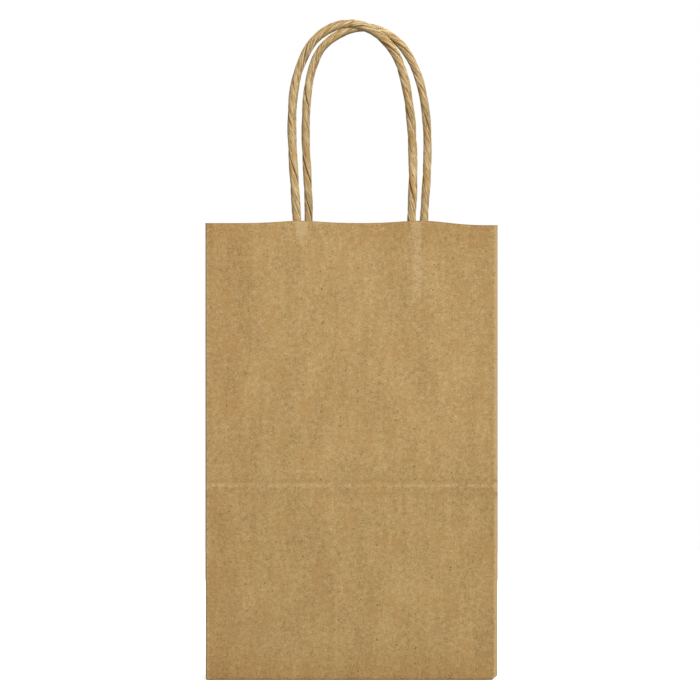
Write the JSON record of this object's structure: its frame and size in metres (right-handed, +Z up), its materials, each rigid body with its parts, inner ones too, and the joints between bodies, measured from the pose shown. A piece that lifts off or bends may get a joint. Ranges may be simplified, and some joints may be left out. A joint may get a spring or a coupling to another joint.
{
  "type": "paper gift bag",
  "caption": "Kraft paper gift bag with creased gusset sides, a folded flat bottom and a pair of twisted paper handles glued inside the rim.",
  "frame": {"origin": "middle of the base, on the surface that the bag stands on", "axes": "+Z up to the handles, -Y out of the front panel, +X to the right as seen from the front"},
  "size_m": [0.133, 0.083, 0.3029],
  "materials": {
    "kraft_paper": "matt natural kraft, fine fibre",
    "patch_paper": "matt natural kraft strip",
    "cord_paper": "tightly twisted kraft paper"
  },
  "bodies": {
    "bag": {"front_panel": "kraft_paper", "back_panel": "kraft_paper", "left_gusset_front_leaf": "kraft_paper", "left_gusset_back_leaf": "kraft_paper", "left_gusset_base_triangle": "kraft_paper", "right_gusset_front_leaf": "kraft_paper", "right_gusset_back_leaf": "kraft_paper", "right_gusset_base_triangle": "kraft_paper", "side_seam_lap": "kraft_paper", "bottom_front_flap": "kraft_paper", "bottom_back_flap": "kraft_paper", "bottom_left_ear": "kraft_paper", "bottom_right_ear": "kraft_paper", "front_handle_bends": "cord_paper", "front_handle_ends": "cord_paper", "back_handle_bends": "cord_paper", "back_handle_ends": "cord_paper", "front_patch_liner": "patch_paper", "front_patch_cover": "patch_paper", "back_patch_liner": "patch_paper", "back_patch_cover": "patch_paper"},
    "front_handle": {"front_handle_loop": "cord_paper"},
    "back_handle": {"back_handle_loop": "cord_paper"}
  },
  "joints": [
    {"name": "front_handle_bend", "type": "hinge", "parent": "bag", "child": "front_handle", "pos_m": [0, -0.0414, 0.2096], "axis": [1, 0, 0], "range_deg": [-23, 165], "deforming": ["front_handle_bends"]},
    {"name": "back_handle_bend", "type": "hinge", "parent": "bag", "child": "back_handle", "pos_m": [0, 0.0414, 0.2096], "axis": [-1, 0, 0], "range_deg": [-23, 165], "deforming": ["back_handle_bends"]}
  ]
}
